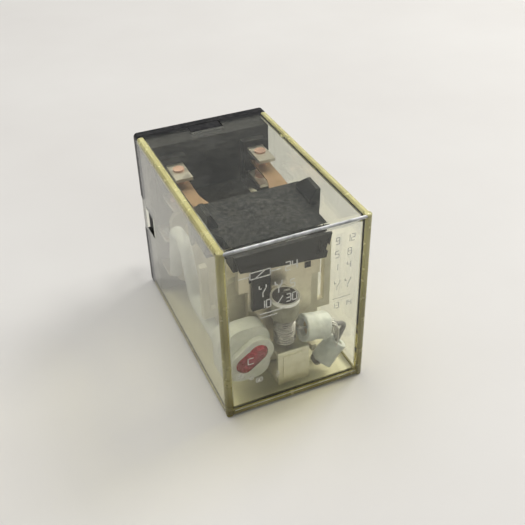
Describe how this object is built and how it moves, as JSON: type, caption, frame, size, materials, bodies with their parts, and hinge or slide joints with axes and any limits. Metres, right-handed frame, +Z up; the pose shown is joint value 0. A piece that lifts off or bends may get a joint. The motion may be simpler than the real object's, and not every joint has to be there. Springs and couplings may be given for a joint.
{
  "type": "industrial control relay",
  "caption": "Plug-in control relay in a clear cover: coil, hinged armature, changeover contacts, indicator lamp and flat blade terminals.",
  "frame": {"origin": "middle of the base's seat face, the plane that rests on the socket", "axes": "+Y out through the blades into the socket, +Z up across the terminal rows, +X to the right seen on the front label face. The relay lies on the side that faces -Z, as it stands in a socket on an upright panel"},
  "size_m": [0.0216, 0.0419, 0.028],
  "materials": {
    "clear_cover": "clear, slightly yellowed polycarbonate",
    "black_base": "moulded, satin",
    "black_carrier": "moulded, dusty",
    "tinned_brass": "tin plated",
    "contact_silver": "silver on copper",
    "spring_copper": "rolled, lightly tarnished",
    "soft_iron": "nickel plated",
    "rivet_steel": "bright",
    "anchor_plate": "yellowish passivated",
    "spring_steel": "drawn wire",
    "shim_copper": "thin sheet",
    "lead_strands": "tinned strands",
    "enamelled_copper": "enamelled wire",
    "tinned_wire": "tinned",
    "white_sleeve": "milky silicone",
    "milky_holder": "milky silicone",
    "bobbin_resin": "moulded",
    "coil_tape": "polyester tape",
    "red_lamp": "tinted lens",
    "cap_resin": "translucent, greenish grey",
    "resistor_body": "lacquered"
  },
  "bodies": {
    "housing": {"anchor_rivets": "rivet_steel", "base": "black_base", "bobbin": "bobbin_resin", "braid_left": "lead_strands", "braid_right": "lead_strands", "coil_lead_left": "enamelled_copper", "coil_lead_right": "enamelled_copper", "coil_tape": "coil_tape", "coil_winding": "enamelled_copper", "core": "soft_iron", "cover": "clear_cover", "indicator_lamp": "red_lamp", "lamp_holder": "milky_holder", "lamp_lead": "tinned_wire", "lamp_sleeve": "white_sleeve", "link_wire": "tinned_wire", "lower_sleeve": "white_sleeve", "nc_contact_rivets": "contact_silver", "no_contact_rivets": "contact_silver", "resistor": "resistor_body", "resistor_sleeve": "white_sleeve", "return_spring": "spring_steel", "spring_anchor": "anchor_plate", "stranded_lead": "lead_strands", "terminal_coil_left": "tinned_brass", "terminal_coil_right": "tinned_brass", "terminal_com_left": "tinned_brass", "terminal_com_right": "tinned_brass", "terminal_nc_left": "tinned_brass", "terminal_nc_right": "tinned_brass", "terminal_no_left": "tinned_brass", "terminal_no_right": "tinned_brass", "yoke": "soft_iron"},
    "armature_unit": {"armature": "soft_iron", "residual_shim": "shim_copper", "spring_cap": "cap_resin", "contact_carrier": "black_carrier", "moving_spring_left": "spring_copper", "moving_spring_right": "spring_copper", "moving_contacts": "contact_silver"}
  },
  "joints": [
    {"name": "armature_hinge", "type": "hinge", "parent": "housing", "child": "armature_unit", "pos_m": [0, -0.0278, -0.0117], "axis": [-1, 0, 0], "range_deg": [0, 2.2], "stiffness_Nm_per_rad": 0.004, "springref_deg": -20.05, "deforming": ["return_spring", "braid_left", "braid_right"]}
  ]
}
